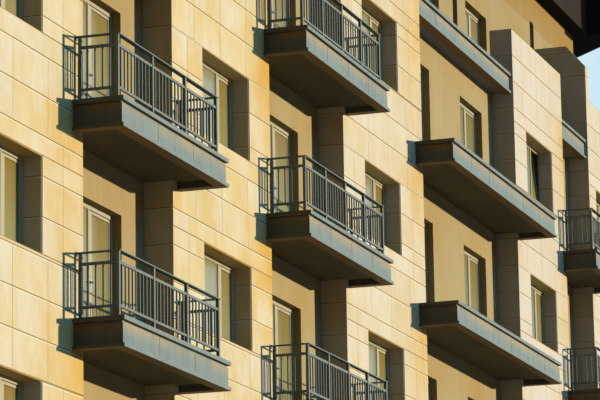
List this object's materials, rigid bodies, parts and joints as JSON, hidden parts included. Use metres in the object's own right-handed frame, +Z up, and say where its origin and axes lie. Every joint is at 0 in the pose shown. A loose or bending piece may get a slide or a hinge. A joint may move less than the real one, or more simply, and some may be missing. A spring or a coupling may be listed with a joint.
{
  "type": "apartment block",
  "caption": "Apartment block with stone-clad window piers, recessed loggias with railed balconies, a set-back top storey with a terrace, and a deep overhanging roof",
  "frame": {"origin": "middle of the building's foot at ground level, under the centre of its overall box", "axes": "+X along the street front to the right as seen from the street, +Y into the building, +Z up"},
  "size_m": [39.85, 13.11, 23.68],
  "materials": {
    "stone_cladding": "honed stone panels in rows, beige, open joints",
    "wall_render": "smooth plain render, warm cream",
    "concrete": "plain cast concrete",
    "fascia_metal": "satin grey-blue coated sheet",
    "railing_metal": "satin grey coated steel",
    "window_frame": "satin cream-white frame",
    "clear_glass": "clear glass, slightly green",
    "dark_glass": "dark glass",
    "roof_covering": "dark brown-grey coated sheet"
  },
  "bodies": {
    "root": {"balcony_fascias_1": "fascia_metal", "balcony_fascias_2": "fascia_metal", "balcony_fascias_3": "fascia_metal", "balcony_fascias_4": "fascia_metal", "balcony_slabs_1": "concrete", "balcony_slabs_2": "concrete", "balcony_slabs_3": "concrete", "balcony_slabs_4": "concrete", "balusters": "railing_metal", "end_wall_left": "wall_render", "end_wall_right": "wall_render", "floor_slabs": "concrete", "ground_floor": "concrete", "loggia_doors_1": "window_frame", "loggia_doors_2": "window_frame", "loggia_doors_3": "window_frame", "loggia_doors_4": "window_frame", "loggia_wall_1": "wall_render", "loggia_wall_2": "wall_render", "loggia_wall_3": "wall_render", "loggia_wall_4": "wall_render", "pier_front_1": "stone_cladding", "pier_front_2": "stone_cladding", "pier_front_3": "stone_cladding", "pier_front_4": "stone_cladding", "pier_front_5": "stone_cladding", "pier_windows_1": "window_frame", "pier_windows_2": "window_frame", "pier_windows_3": "window_frame", "pier_windows_4": "window_frame", "pier_windows_5": "window_frame", "railing_fronts": "railing_metal", "railing_sides": "railing_metal", "rear_wall": "wall_render", "rear_window_frames": "window_frame", "roof": "roof_covering", "slot_panes": "dark_glass", "terrace_divider": "stone_cladding", "terrace_fascias": "fascia_metal", "terrace_floor": "concrete", "top_end_wall": "wall_render", "top_storey_wall": "wall_render", "top_window_frames": "window_frame", "window_glass": "clear_glass"}
  },
  "joints": []
}
